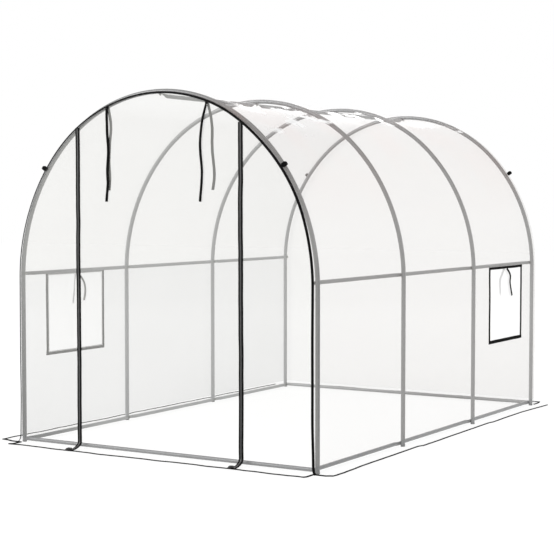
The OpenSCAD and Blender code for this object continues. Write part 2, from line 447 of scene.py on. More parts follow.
def film_material(name, haze, slant_haze, tints, crest=False, foot=0.0, clear_foot=False, glow=0.0):
    """Thin milky film: hazier where it is seen aslant, with flat gloss and fine creases.

    crest adds the pinkish grey and the painted white highlight streaks of the creased top of the roof.
    foot is how strong the painted grey shade is over the ground.
    clear_foot makes the film clearer towards the ground.
    glow stands in for the light that a milky film lets through from behind.
    """
    n = Material(name, IOR=1.45, Emission_Color=(1, 1, 1, 1), Emission_Strength=glow)
    cloud = n.noise(1.1, 2)
    tone = n.ramp(cloud, (0.35, tints[0]), (0.65, tints[1]))
    creases = n.noise(9, 4, stretch=(1, 0.35, 1))
    n.bump(n.plus(creases, n.times(n.noise(70, 2), PIMPLES)), CREASE_DEPTH, 0.4)
    facing = n.add("LayerWeight", {"Blend": 0.5}).outputs["Facing"]
    alpha = n.plus(n.times(n.math("POWER", facing, 3.0), slant_haze), haze)
    spot = n.add("SeparateXYZ", {0: n.place()}).outputs
    if clear_foot:
        alpha = n.times(alpha, n.between(spot["Z"], 0.1, 1.2, 0.55, 1))
    # Painted shade: the film turns greyer and hazier towards the ground, in patches
    if foot:
        ground_shade = n.times(n.between(spot["Z"], 0.04, GROUND_SHADE_TOP, foot, 0), n.between(cloud, 0.3, 0.7, 0.6, 1))
        tone = n.mix(n.times(ground_shade, GROUND_SHADE_TINT), tone, GROUND_SHADE_GREY)
        alpha = n.plus(alpha, n.times(ground_shade, GROUND_SHADE_HAZE))
    if crest:
        tone, alpha = crest_looks(n, spot, tone, alpha)
    n.looks(Base_Color=tone, Alpha=alpha, Roughness=n.between(creases, 0.3, 0.7, 0.12, 0.26))
    return n.material


def tube_material(name, shade):
    """Satin grey galvanised tube: faint spangle, drawing streaks and a few dull patches.

    Painted light pales it inside the cover: most on the left and low down, some at the right rear.
    """
    n = Material(name, Metallic=0.35)
    spot = n.add("SeparateXYZ", {0: n.place()}).outputs
    # Painted light: where this mask is high, the tubes' grey is raised to a paler copy
    painted_light = n.plus(*[n.times(*[n.between(spot[axis], *change) for axis, change in where.items()])
                     for where in (LEFT_PAINTED_LIGHT, RIGHT_PAINTED_LIGHT)])
    spangle = n.add("TexVoronoi", {"Vector": n.place(), "Scale": 260}).outputs["Distance"]
    dull = n.noise(14, 4)
    streaks = n.noise(30, 3, where=n.metres(), stretch=(14, 0.4, 1))
    mixed = n.plus(n.times(spangle, 0.25), n.times(dull, 0.75))
    metal = n.ramp(mixed, (0.25, shade), (0.75, [c * 1.18 for c in shade]))
    n.looks(Base_Color=n.mix(painted_light, metal, [c * PAINTED_LIGHT_GAIN for c in shade]),
            Roughness=n.between(dull, 0.3, 0.7, 0.34, 0.5))
    n.bump(n.plus(streaks, n.times(spangle, 0.3)), 0.0003, 0.6)
    return n.material


def steel_material():
    """Zinc-plated bolts and nuts."""
    n = Material("zinc_steel", Metallic=1.0)
    worn = n.noise(220, 3)
    n.looks(Base_Color=n.ramp(worn, (0.3, (0.22, 0.22, 0.21)), (0.7, (0.42, 0.42, 0.40))),
            Roughness=n.between(worn, 0.3, 0.7, 0.25, 0.5))
    n.bump(worn, 0.0002)
    return n.material


def woven_material(name, shade, pitch):
    """Woven tape: a twill of threads pitch metres apart, in the map's metres."""
    n = Material(name, Roughness=0.8, IOR=1.1)
    threads = n.times(*[
        n.add("TexWave", {"Vector": n.metres(), "Scale": scale / pitch, "Distortion": wander},
              wave_type="BANDS", bands_direction=way).outputs["Fac"]
        for way, scale, wander in (("X", STRAIGHT_THREADS, 0.0), ("DIAGONAL", TWILL_THREADS, 0.4))
    ])
    tone = n.plus(n.times(threads, 0.5), n.times(n.noise(25, 3), 0.5))
    n.looks(Base_Color=n.ramp(tone, (0.2, shade), (0.75, [c * 1.6 + 0.003 for c in shade])))
    n.bump(threads, 0.0004, 0.8)
    return n.material


def plastic_material(name, shade):
    """Moulded plastic with a fine spark-eroded grain."""
    n = Material(name)
    worn = n.noise(30, 3)
    n.looks(Base_Color=n.ramp(worn, (0.3, shade), (0.7, [c * 1.3 for c in shade])),
            Roughness=n.between(worn, 0.3, 0.7, 0.4, 0.55))
    n.bump(n.noise(900, 2), 0.0002, 0.4)
    return n.material


WALL_TINTS = ((0.90, 0.87, 0.83), (0.93, 0.90, 0.86))
# Painted shade: a darker copy of the wall tints, which the left wall wears
SHADED_TINTS = ((0.57, 0.57, 0.56), (0.61, 0.61, 0.60))
FRONT_TINTS = ((0.80, 0.80, 0.76), (0.84, 0.84, 0.80))
ROOF_FILM = film_material("roof_film", 0.22, 0.0, WALL_TINTS, crest=True)
# foot sets each sheet's painted ground shade: most on the left wall, some on the rear sheet, a little on
# the right wall
WALL_FILMS = {
    "left": film_material("left_wall_film", 0.22, 0.16, SHADED_TINTS, foot=1.0),
    "right": film_material("right_wall_film", 0.2, 0.16, WALL_TINTS, foot=0.15),
}
FRONT_FILM = film_material("front_film", 0.27, 0.2, FRONT_TINTS, clear_foot=True)
REAR_FILM = film_material("rear_film", 0.2, 0.16, WALL_TINTS, foot=0.5)
PANE_TINTS = ((0.95, 0.95, 0.95), (0.97, 0.97, 0.97))
PANE_FILMS = {
    "left": film_material("left_pane_film", 0.5, 0.1, PANE_TINTS, glow=0.22),
    "right": film_material("right_pane_film", 0.5, 0.1, PANE_TINTS, glow=0.3),
}
FLAP_FILM = film_material("flap_film", 0.12, 0.05, ((0.92, 0.92, 0.915), (0.95, 0.95, 0.945)))
HOOP_TUBE = tube_material("hoop_tube", (0.173, 0.175, 0.177))
RAIL_TUBE = tube_material("rail_tube", (0.17, 0.172, 0.174))
ZINC = steel_material()
BLACK_TAPE = woven_material("black_tape", (0.006, 0.006, 0.006), 0.0012)
BLACK_RIBBON = woven_material("black_ribbon", (0.007, 0.007, 0.007), 0.0008)
# Painted light: a paler copy of the black ribbon, for the inner window ties, which are seen through the
# film
PALE_LIT_RIBBON = woven_material("pale_lit_ribbon", (0.22, 0.22, 0.215), 0.0008)
THREAD = woven_material("thread", (0.05, 0.05, 0.05), 0.0004)
TEETH = plastic_material("zip_teeth", (0.06, 0.06, 0.06))
BLACK_PLASTIC = plastic_material("black_plastic", (0.02, 0.02, 0.02))
GREY_PLASTIC = plastic_material("grey_plastic", (0.16, 0.16, 0.16))

# ---------------- the ties, hanging free

# The CAD model's routes: one list of sideways places for each, for equal steps down from the top
DOOR_TIE_TOP = 1.921
DOOR_OUTER_STEP = 0.0344
DOOR_INNER_STEP = 0.0324
DOOR_TIES = {
    "left_door_tie_outer": [
        -0.333, -0.334, -0.333, -0.332, -0.331, -0.328, -0.325, -0.324,
        -0.326, -0.329, -0.331, -0.330, -0.328, -0.331, -0.335, -0.338,
    ],
    "left_door_tie_inner": [
        -0.333, -0.327, -0.320, -0.317, -0.318, -0.322, -0.326, -0.328,
        -0.330, -0.331, -0.330, -0.327, -0.326, -0.328, -0.331,
    ],
    "right_door_tie_outer": [
        0.330, 0.319, 0.309, 0.302, 0.297, 0.293, 0.291, 0.292,
        0.295, 0.299, 0.302, 0.302, 0.300, 0.297, 0.293, 0.290,
    ],
    "right_door_tie_inner": [
        0.333, 0.342, 0.350, 0.355, 0.358, 0.358, 0.357, 0.358,
        0.360, 0.364, 0.368, 0.371, 0.371, 0.367, 0.361,
    ],
}
WINDOW_TIE_TOP = 0.966
WINDOW_OUTER_STEP = 0.013
WINDOW_INNER_STEP = 0.012
WINDOW_TIES = {
    "left_window_tie_outer": [
        -0.980, -0.983, -0.986, -0.988, -0.990, -0.991, -0.992, -0.993,
        -0.994, -0.996, -0.998, -1.000, -1.002, -1.004, -1.005,
    ],
    "left_window_tie_inner": [
        -0.980, -0.963, -0.949, -0.937, -0.927, -0.920, -0.915, -0.912,
        -0.910, -0.910, -0.911, -0.913, -0.916, -0.920, -0.923,
    ],
    "right_window_tie_outer": [
        0.984, 1.008, 1.026, 1.039, 1.046, 1.045, 1.042, 1.041,
        1.044, 1.049, 1.055, 1.060, 1.065, 1.071, 1.077,
    ],
    "right_window_tie_inner": [
        0.981, 0.971, 0.959, 0.947, 0.934, 0.922, 0.914, 0.912,
        0.912, 0.913, 0.914, 0.916, 0.918, 0.919, 0.919,
    ],
}
TIE_W = span("left_door_tie_outer", "y")
TIE_T = 0.0012
DOOR_FACING = (0.5, -0.86, 0)
RIGHT_WINDOW_FACING = (0.95, -0.3, 0)
# Which way each ribbon's face looks, before it turns on its way down
TIE_FACINGS = {
    "left_door_tie_outer": DOOR_FACING,
    "left_door_tie_inner": DOOR_FACING,
    "right_door_tie_outer": (0.05, -0.86, 0),
    "right_door_tie_inner": DOOR_FACING,
    "left_window_tie_outer": (-0.35, -0.93, 0),
    "left_window_tie_inner": (0.1, -1, 0),
    "right_window_tie_outer": RIGHT_WINDOW_FACING,
    "right_window_tie_inner": RIGHT_WINDOW_FACING,
}


def tie_facings(line, name, seed):
    """Which way a ribbon's face looks at each point: it turns a little on the way down."""
    facing = Vector(TIE_FACINGS[name]).normalized()
    return [Matrix.Rotation(0.4 * wave(seed, 0.12, p.z), 3, "Z") @ facing for p in line]


def tie_outline(i):
    return rounded(TIE_T / 2, TIE_W / 2, TIE_T / 2.2)


def tie(name, route, seed, material):
    """A flat ribbon that hangs along its route."""
    line = smooth_line(route, 3)
    ribbon = Shape().sweep(line, tie_facings(line, name, seed), tie_outline)
    made = ribbon.piece(name + "_ribbon", material, "tie_ribbon", name)
    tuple(line[0])
    round(length_of(line), 3)


for seed, (name, places) in enumerate(DOOR_TIES.items()):
    step = DOOR_OUTER_STEP if "outer" in name else DOOR_INNER_STEP
    y = middle(name, "y")
    route = [Vector((x, y, DOOR_TIE_TOP - k * step)) for k, x in enumerate(places)]
    tie(name, route, seed, BLACK_RIBBON)
for seed, (name, places) in enumerate(WINDOW_TIES.items(), 10):
    outer = "outer" in name
    step = WINDOW_OUTER_STEP if outer else WINDOW_INNER_STEP
    x = middle(name, "x")
    route = [Vector((x, y, WINDOW_TIE_TOP - k * step)) for k, y in enumerate(places)]
    # The inner window ties wear the paler ribbon, as painted light
    tie(name, route, seed, BLACK_RIBBON if outer else PALE_LIT_RIBBON)

# ---------------- the frame of tubes

GROOVE = 0.0011
CHAMFER = 0.0016
BUTTON_PAST_JOINT = 0.055
# Turned fittings, as (distance along the axis, radius)
BUTTON = [(0, 0.0045), (0.0015, 0.0045), (0.0028, 0.0036), (0.0034, 0.0018)]
FOOT_CAP = [(0.0, 0.0118), (0.001, 0.0132), (0.012, 0.0132), (0.0128, 0.0126)]
RAIL_PLUG = [(0, 0.0098), (0.001, 0.0108), (0.009, 0.0108), (0.0105, 0.0096)]
WASHER = [(0, 0.0078), (0.0012, 0.0078), (0.0015, 0.0072)]
NUT = [(0, 0.0058), (0.0046, 0.0058), (0.0052, 0.0050)]
BOLT_END = [(0, 0.003), (0.0030, 0.003), (0.0040, 0.0019)]
# The rails' pressed ends: a flat tab that goes over into the round tube
RAIL_TAB_W = 0.016
RAIL_TAB_T = 0.003
RAIL_STEP = 0.0005
TAB_CHAMFER = 0.004
TAB_LEN = 0.036
TAPER_LEN = 0.042
TAB_PAST = 0.010
# How much further in the second of two lapped tabs lies
SECOND_TAB = 0.0024


def across(s):
    """Place and outward direction on the hoops' centre line, s metres over the arch from the ridge."""
    side = 1 if s >= 0 else -1
    run = abs(s)
    if run < CROWN_LEN:
        angle = pi / 2 - run / CROWN_R
        x, z = CROWN_R * cos(angle), CROWN_Z + CROWN_R * sin(angle)
    elif run < ARCH_LEN:
        angle = SPLIT - (run - CROWN_LEN) / HAUNCH_R
        x, z = HAUNCH_X + HAUNCH_R * cos(angle), LEG_H + HAUNCH_R * sin(angle)
    else:
        angle = 0.0
        x, z = HALF_W, LEG_H - (run - ARCH_LEN)
    return Vector((side * x, 0, z)), Vector((side * cos(angle), 0, sin(angle)))


def hoop_tube(shape, y, start, end):
    """One tube of a hoop, chamfered at its ends so that each joint shows as a fine groove."""
    body = steps(0.03, start + 2 * CHAMFER, end - 2 * CHAMFER)
    places = [start, start + CHAMFER, *body, end - CHAMFER, end]
    line, outward, radii = [], [], []
    for s in places:
        centre, out = across(s)
        line.append(centre + Vector((0, y, 0)))
        outward.append(out)
        radii.append(TUBE_R - (GROOVE if s in (start, end) else 0))
    shape.sweep(line, outward, lambda i: ellipse(radii[i], radii[i], 32))


def snap_button(shape, y, s):
    """The sprung button that locks a hoop's joint, on the side that faces into the tunnel."""
    centre, out = across(s)
    shape.lathe(centre - out * (TUBE_R - 0.001) + Vector((0, y, 0)), -out, BUTTON, 16)


def hoops():
    for i, y in zip(HOOPS, HOOP_Y):
        legs, haunches, crown, buttons, caps = (Shape() for _ in range(5))
        for side in (-1, 1):
            hoop_tube(legs, y, *sorted((side * ARCH_LEN, side * HALF_LEN)))
            hoop_tube(haunches, y, *sorted((side * CROWN_LEN, side * ARCH_LEN)))
            for joint in (CROWN_LEN, ARCH_LEN):
                snap_button(buttons, y, side * (joint + BUTTON_PAST_JOINT))
            caps.lathe(Vector((side * HALF_W, y, 0)), UP, FOOT_CAP, 28)
        hoop_tube(crown, y, -CROWN_LEN, CROWN_LEN)
        legs.piece(f"hoop_{i}_leg_tubes", HOOP_TUBE, "hoop_tube", f"hoop_{i}_legs")
        haunches.piece(f"hoop_{i}_haunch_tubes", HOOP_TUBE, "hoop_tube", f"hoop_{i}_haunches")
        crown.piece(f"hoop_{i}_crown_tube", HOOP_TUBE, "hoop_tube", f"hoop_{i}_crown")
        buttons.piece(f"hoop_{i}_snap_buttons", ZINC, "hoop_tube")
        caps.piece(f"hoop_{i}_foot_caps", GREY_PLASTIC, "hoop_tube")


def rail_tube(shape, seat, facing, start, end, lapped):
    """One rail: a round tube whose pressed ends lie flat against the hoops' insides.

    A lapped rail's first tab lies on the tab of the rail before it.
    """
    side = facing.cross(Vector((0, 1, 0)))
    pressed = [0, TAB_CHAMFER, TAB_LEN, *steps(0.007, TAB_LEN + TAB_CHAMFER, TAB_LEN + TAPER_LEN)]
    round_from = TAB_LEN + TAPER_LEN + 0.01
    places = [start + p for p in pressed]
    places += steps(0.12, start + round_from, end - round_from)
    places += [end - p for p in reversed(pressed)]
    rings = []
    for y in places:
        from_end = min(y - start, end - y)
        round_share = ease((from_end - TAB_LEN) / TAPER_LEN)
        half_w = blend(RAIL_TAB_W / 2 + 0.002, RAIL_R, round_share)
        half_t = blend(RAIL_TAB_T / 2, RAIL_R, round_share)
        if from_end < TAB_CHAMFER / 2:
            half_w -= TAB_CHAMFER
        lap = SECOND_TAB if lapped and y - start < end - y else 0
        depth = RAIL_STEP * round_share + half_t + lap * (1 - round_share)
        power = blend(0.35, 1, round_share)
        ring = []
        for c, s in ellipse(1, 1, 24):
            a = half_t * copysign(abs(c) ** power, c)
            b = half_w * copysign(abs(s) ** power, s)
            ring.append(seat + Vector((0, y, 0)) + facing * (a - depth) + side * b)
        rings.append(ring)
    shape.skin(rings)


def bolt(shape, place, axis):
    """A washer, a hexagon nut and the end of its bolt."""
    for lift, profile, sides in ((0, WASHER, 24), (0.0014, NUT, 6), (0.005, BOLT_END, 12)):
        shape.lathe(place + axis * lift, axis, profile, sides)


def long_rail(name, seat, facing):
    """Three rails end to end along the tunnel, lapped and bolted under each hoop."""
    tubes, bolts = Shape(), Shape()
    for k in range(len(HOOP_Y) - 1):
        rail_tube(tubes, seat, facing, HOOP_Y[k] - TAB_PAST, HOOP_Y[k + 1] + TAB_PAST, k > 0)
    for k, y in enumerate(HOOP_Y):
        lap = SECOND_TAB if 0 < k < len(HOOP_Y) - 1 else 0
        bolt(bolts, seat + Vector((0, y, 0)) - facing * (RAIL_TAB_T + lap), -facing)
    tubes.piece(name + "_tubes", RAIL_TUBE, "rail_tube", name)
    bolts.piece(name + "_bolts", ZINC, "rail_tube")


def end_rail(name, y):
    """The rail across an end, plugged at both ends against the legs."""
    reach = high(name).x
    tube, plugs = Shape(), Shape()
    line = [Vector((x, y, BASE_RAIL_Z)) for x in steps(0.12, -reach + 0.004, reach - 0.004)]
    tube.sweep(line, [UP] * len(line), lambda i: ellipse(RAIL_R, RAIL_R, 28))
    for side in (-1, 1):
        plugs.lathe(Vector((side * reach, y, BASE_RAIL_Z)), Vector((-side, 0, 0)), RAIL_PLUG, 28)
    tube.piece(name + "_tube", RAIL_TUBE, "rail_tube", name)
    plugs.piece(name + "_plugs", GREY_PLASTIC, "rail_tube")


def rails():
    for side, name in SIDES:
        facing = Vector((side, 0, 0))
        for kind, z in (("side", SIDE_RAIL_Z), ("base", BASE_RAIL_Z)):
            rail = f"{name}_{kind}_rail"
            seat = high(rail).x if side > 0 else low(rail).x
            long_rail(rail, Vector((seat, 0, z)), facing)
    long_rail("ridge_rail", Vector((0, 0, high("ridge_rail").z)), UP)
    end_rail("front_base_rail", HOOP_Y[0])
    end_rail("rear_base_rail", HOOP_Y[-1])


hoops()
rails()

# ---------------- the film cover

FILM_GAP = 0.0012
RIM_Y = FRONT_Y - 0.003
BINDING_W = 0.0146
BINDING_T = 0.0034
BINDING_TURN = radians(37)
RIM = (high("front_binding").x - HALF_W) - 0.0065
RIM_SWING = 0.0006
RIM_FLARE = 0.006
RIM_BULGE = 0.012
# Where the rim bulges, as (metres over the arch from the ridge, spread, share of RIM_BULGE)
RIM_BULGES = ((1.06, 0.33, 1), (0.42, 0.28, 0.35))
RIGHT_RIM_OUT = 0.005
FOLD_R = 0.042
ZIP_FOLD_OUT = 0.09
RIGHT_FOOT_OUT = 0.012
GROUND = 0.0016
PANE_LAP = 0.006
# How far the cover sags, ripples and puckers between two hoops, at its walls and at the ridge
SAG = (0.003, 0.011)
RIPPLE = (0.0022, 0.0042)
PUCKER = (0.0004, 0.0016)
# How far the front and rear sheets wander out of their plane, and how far in from their edges
SHEET_SLACK = 0.004
FRONT_EDGE = 0.05
REAR_EDGE = 0.06
# The legs' length over which the rim flares, and where it starts to be drawn out on the right
FLARE_LEN = 0.3
RIGHT_RIM_FROM, RIGHT_RIM_LEN = 1.2, 0.5
RIM_WAVE = 0.0025
# How far below the binding the zips' wandering dies out in the door
DOOR_EASE = 0.1


def rim_offset(s):
    """How far the cover's front edge is outside the hoops' centre line: most at the right shoulder."""
    rise = ease(1 - abs(s) / ARCH_LEN)
    flare = ease((abs(s) - HALF_LEN) / FLARE_LEN + 1)
    bulge = RIM_BULGE * sum(share * exp(-((s - at) / spread) ** 2) for at, spread, share in RIM_BULGES)
    bulge += RIGHT_RIM_OUT * ease((s - RIGHT_RIM_FROM) / RIGHT_RIM_LEN)
    ripple = RIM_WAVE * wave(3, 0.34, s)
    return RIM + blend(-RIM_SWING, RIM_SWING, rise) + RIM_FLARE * flare + bulge + ripple


def rear_offset(s):
    """How far the cover's rear edge is outside the hoops' centre line."""
    return TUBE_R - 0.002 + 0.0015 * wave(5, 0.4, s)


def cover_offset(s, y):
    """How far the film stands outside the hoops' centre line."""
    tight = TUBE_R + FILM_GAP
    if y <= HOOP_Y[0]:
        return blend(tight, rim_offset(s), ease((HOOP_Y[0] - y) / (HOOP_Y[0] - RIM_Y)))
    if y >= HOOP_Y[-1]:
        return blend(tight, rear_offset(s), ease((y - HOOP_Y[-1]) / (REAR_Y - HOOP_Y[-1])))
    bay = HOOP_Y[1] - HOOP_Y[0]
    slack = sin(pi * ((y - HOOP_Y[0]) / bay % 1))
    top = ease(1 - abs(s) / ARCH_LEN)
    sag = blend(*SAG, top) * slack
    ripple = blend(*RIPPLE, top) * wave(1, 0.26, s, 0.45 * y) * sqrt(slack)
    pucker = blend(*PUCKER, top) * wave(2, 0.07, s, 0.2 * y) * sqrt(slack)
    return tight - sag + min(ripple + pucker, sag)


def cover_point(s, y):
    """A place on the cover, s metres over the arch from the ridge."""
    centre, out = across(s)
    return centre + out * cover_offset(s, y) + Vector((0, y, 0))


FOOT = HALF_LEN - FOLD_R - GROUND
COVER_YS = steps(0.028, RIM_Y, HOOP_Y[0], *HOOP_Y[1:], REAR_Y)


def roof():
    """The cover's top, from seam to seam."""
    rows = [[cover_point(s, y) for s in steps(0.022, -SEAM, 0, SEAM)] for y in COVER_YS]
    made = Shape().grid(rows).piece("roof_film", ROOF_FILM, "cover_film", "roof_cover")


def wall(side, name):
    """A side wall with its window's opening cut out."""
    opening_low, opening_high = low(f"{name}_window"), high(f"{name}_window")
    runs = steps(0.026, SEAM, HALF_LEN - opening_high.z, HALF_LEN - opening_low.z, FOOT)
    ys = steps(0.028, *sorted([RIM_Y, *HOOP_Y, opening_low.y, opening_high.y, REAR_Y]))

    def solid(i, j):
        y, z = (ys[i] + ys[i + 1]) / 2, HALF_LEN - (runs[j] + runs[j + 1]) / 2
        return not (opening_low.y < y < opening_high.y and opening_low.z < z < opening_high.z)

    rows = [[cover_point(side * run, y) for run in runs] for y in ys]
    film = Shape().grid(rows, keep=solid)
    made = film.piece(f"{name}_wall_film", WALL_FILMS[name], "cover_film", f"{name}_wall")
    opening = span(f"{name}_window", "y") * span(f"{name}_window", "z")


def inside(x, z):
    """How far a place is inside the hoops' centre line."""
    if z <= LEG_H:
        return HALF_W - abs(x)
    if abs(x) < z - CROWN_Z:
        return CROWN_R - Vector((x, z - CROWN_Z)).length
    return HAUNCH_R - Vector((abs(x) - HAUNCH_X, z - LEG_H)).length


def front_y(x, z):
    """The front sheets' place: level with the frame's end, drawn forward at the binding."""
    edge = exp(-max(0, inside(x, z) + RIM) / FRONT_EDGE)
    return blend(FRONT_Y, RIM_Y, edge) + SHEET_SLACK * wave(4, 0.5, x, 0.6 * z) * (1 - edge)


def zip_x(side, z):
    """A zip's place: not quite straight."""
    return side * ZIP_X + 0.0045 * wave(6 + side, 0.3, z) + 0.0015 * wave(12 + side, 0.09, z)


def rim_run(x):
    """How far over the arch from the ridge the rim passes x."""
    below, above = 0.0, HALF_LEN
    for _ in range(40):
        run = (below + above) / 2
        centre, out = across(run)
        if centre.x + out.x * rim_offset(run) < x:
            below = run
        else:
            above = run
    return below


def rim_point(s):
    """A place on the cover's front edge, s metres over the arch from the ridge."""
    centre, out = across(s)
    return centre + out * rim_offset(s) + Vector((0, RIM_Y, 0))


ZIP_RUN = rim_run(ZIP_X)
SKIRT_TOP = FOLD_R + GROUND


def door():
    """The front sheet between the zips, in columns from the ground up to the binding."""
    rows = []
    for s in steps(0.024, -ZIP_RUN, 0, ZIP_RUN):
        top = rim_point(s)
        row = []
        for z in steps(0.026, SKIRT_TOP, top.z):
            share = (top.x + ZIP_X) / (2 * ZIP_X)
            shift = blend(zip_x(-1, z) + ZIP_X, zip_x(1, z) - ZIP_X, share)
            x = top.x + shift * ease((top.z - z) / DOOR_EASE)
            row.append(Vector((x, front_y(x, z), z)))
        rows.append(row)
    count = min(len(row) for row in rows)
    even = [[resampled(row, k / (count - 1)) for k in range(count)] for row in rows]
    made = Shape().grid(even).piece("door_film", FRONT_FILM, "cover_film", "door_panel")
    area = sum(length_of(row) for row in even) / len(even) * 2 * ZIP_X
    high("door_panel").z


def front_side(side, name):
    """The front sheet between a zip and the binding, row by row from the top down."""
    node = f"front_{name}_panel"
    rows = []
    columns = 16
    for run in steps(0.026, ZIP_RUN + 0.002, ARCH_LEN, FOOT):
        edge = rim_point(side * run)
        inner = zip_x(side, edge.z)
        xs = [blend(inner, edge.x, k / columns) for k in range(columns)]
        rows.append([*(Vector((x, front_y(x, edge.z), edge.z)) for x in xs), edge])
    made = Shape().grid(rows).piece(f"front_{name}_film", FRONT_FILM, "cover_film", node)
    area = sum(length_of(row) for row in rows) / len(rows) * length_of([row[-1] for row in rows])
    span(node, "x")
    high(node).z


def rear():
    """The rear sheet: one panel welded to the cover's rear edge."""
    rows = []
    columns = 48
    for run in steps(0.03, 0, ARCH_LEN, FOOT):
        left, right = (cover_point(side * run, REAR_Y) for side in (-1, 1))
        row = []
        for k in range(columns + 1):
            point = left.lerp(right, k / columns)
            slack = SHEET_SLACK * (1 - exp(-max(0, inside(point.x, point.z)) / REAR_EDGE))
            point.y -= slack * (0.5 + wave(8, 0.5, point.x, 0.6 * point.z))
            row.append(point)
        rows.append(row)
    made = Shape().grid(rows).piece("rear_film", REAR_FILM, "cover_film", "rear_panel")
    tall = high("rear_panel").z
    area = sum(length_of(a) * (a[0].z - b[0].z) for a, b in zip(rows, rows[1:]))


def window(side, name):
    """The milky pane in the wall, a little slack in its border."""
    node = f"{name}_window"
    edge_low, edge_high = low(node), high(node)
    wide, tall = span(node, "y"), span(node, "z")
    rows = []
    for y in steps(0.024, edge_low.y - PANE_LAP, edge_high.y + PANE_LAP):
        row = []
        for z in steps(0.024, edge_low.z - PANE_LAP, edge_high.z + PANE_LAP):
            slack = max(0, sin(pi * (y - edge_low.y) / wide)) * max(0, sin(pi * (z - edge_low.z) / tall))
            point = cover_point(side * (HALF_LEN - z), y)
            point.x += side * (0.0006 + 0.004 * slack * wave(9 + side, 0.22, y, z))
            row.append(point)
        rows.append(row)
    made = Shape().grid(rows).piece(f"{name}_window_film", PANE_FILMS[name], "window_film", node)


roof()
door()
for side, name in SIDES:
    wall(side, name)
    front_side(side, name)
    window(side, name)
rear()

# ---------------- the flaps on the ground

# Half the width and half the thickness of a hem, and how much fuller it is at a flap's ends
HEM_W = 0.0052
HEM_T = 0.0032
END_HEM = 1.15
RIPPLE_UP = 0.007
FOLD_PARTS = 9
FLAT_PARTS = 8
ZIP_FOLD_SPREAD = 0.055
RUN_2, RUN_3 = HOOP_Y[1] - RIM_Y, HOOP_Y[2] - RIM_Y
# How much narrower than its full width a flap is, as (metres along it, metres)
RIGHT_TRIM = [(0, 0.019), (RUN_2 + 0.04, 0.055), (RUN_2 + 0.07, 0.034), (RUN_3 + 0.087, 0.058),
              (RUN_3 + 0.12, 0.046), (RUN_3 + 0.62, 0.058), (REAR_Y - RIM_Y, 0.026)]
LEFT_TRIM = [(0, 0.0), (REAR_Y - RIM_Y, 0.02)]
END_TRIM = [(0, 0.014), (2 * WALL_X, 0.014)]
# Where a side flap's width may change, past the second and the third hoop
TRIM_PLACES = (0.04, 0.07, 0.087, 0.12)


def flap_lift(seed, along, out):
    """How high the flap's sheet lies over the ground: it ripples more towards its edge."""
    share = ease((out - FOLD_R) / (FLAP_W - FOLD_R))
    ripple = 0.5 + 0.5 * wave(seed, 0.28, along) + 0.25 * wave(seed + 1, 0.08, along)
    return GROUND + HEM_T * share + RIPPLE_UP * share * max(0.0, ripple)


def fold_out(foot, outward):
    """How far out a fold reaches: the stiff zips hold the front flap's fold open."""
    if outward.y >= 0:
        return FOLD_R
    return blend(FOLD_R, ZIP_FOLD_OUT, exp(-((abs(foot.x) - ZIP_X) / ZIP_FOLD_SPREAD) ** 2))


def flap_row(foot, outward, width, seed, along):
    """One section of a flap, from the foot of its sheet out over the ground."""
    wide = fold_out(foot, outward)
    section = []
    for turn in quarter_turn(FOLD_PARTS):
        section.append((wide * (1 - cos(turn)), FOLD_R * (1 - sin(turn)) + GROUND))
    for k in range(FLAT_PARTS):
        out = blend(wide, width, (k + 1) / FLAT_PARTS)
        section.append((out, flap_lift(seed, along, out)))
    return [foot + outward * out + Vector((0, 0, height - foot.z)) for out, height in section]


def hem(shape, line, scale=1.0):
    """A folded tape along a flap's edge."""
    shape.sweep(line, [UP] * len(line), lambda i: ellipse(HEM_T * scale, HEM_W * scale, 10))


def trimmed(at, trim):
    """How much narrower a flap is there."""
    for (a, first), (b, second) in zip(trim, trim[1:]):
        if at <= b:
            return blend(first, second, max(0, at - a) / (b - a))
    return trim[-1][1]


def flap(name, feet, outward, seed, trim, hemmed_ends):
    """A flap along a line of feet, with a hem along its edge and up its hemmed ends."""
    rows = []
    total = length_of(feet)
    reach = max(foot.dot(outward) for foot in feet)
    for at, foot in zip(running(feet), feet):
        width = FLAP_W + reach - foot.dot(outward) - trimmed(at, trim) + 0.0015 * wave(seed + 2, 0.2, at)
        rows.append(flap_row(foot, outward, width, seed, at))
    edge = Shape()
    hem(edge, [row[-1] for row in rows])
    for end in hemmed_ends:
        places = [Vector((feet[end].x, feet[end].y, 0)), *rows[end][FOLD_PARTS:]]
        hem(edge, [Vector((p.x, p.y, max(p.z, HEM_T * 1.2))) for p in places], END_HEM)
    made = Shape().grid(rows).piece(f"{name}_film", FLAP_FILM, "flap_film", name)
    trim_piece = edge.piece(f"{name}_hem", BLACK_TAPE, "black_binding")
    widths = [length_of(row) for row in rows]


def flaps():
    for side, name, seed, trim in ((-1, "left", 20, LEFT_TRIM), (1, "right", 30, RIGHT_TRIM)):
        breaks = [y + past for y in HOOP_Y[1:3] for past in TRIM_PLACES]
        ys = steps(0.03, COVER_YS[0], HOOP_Y[0], *breaks, HOOP_Y[-1], COVER_YS[-1])
        feet = [cover_point(side * FOOT, y) for y in ys]
        flap(f"{name}_flap", feet, Vector((side, 0, 0)), seed, trim, (0,))
    left, right = rim_point(-FOOT).x, rim_point(FOOT).x
    xs = steps(0.03, left, zip_x(-1, 0), zip_x(1, 0), right)
    front = [Vector((x, front_y(x, SKIRT_TOP), SKIRT_TOP)) for x in xs]
    flap("front_flap", front, Vector((0, -1, 0)), 40, END_TRIM, (0, -1))
    edge = HALF_W + rear_offset(FOOT)
    rear_feet = [Vector((x, REAR_Y, SKIRT_TOP)) for x in steps(0.03, -edge, edge)]
    flap("rear_flap", rear_feet, REARWARD, 50, END_TRIM, (-1,))


flaps()

# ---------------- binding, zips, borders, loops


# Half the width and half the thickness of a stitch's thread
THREAD_W = 0.0004
THREAD_T = 0.0003


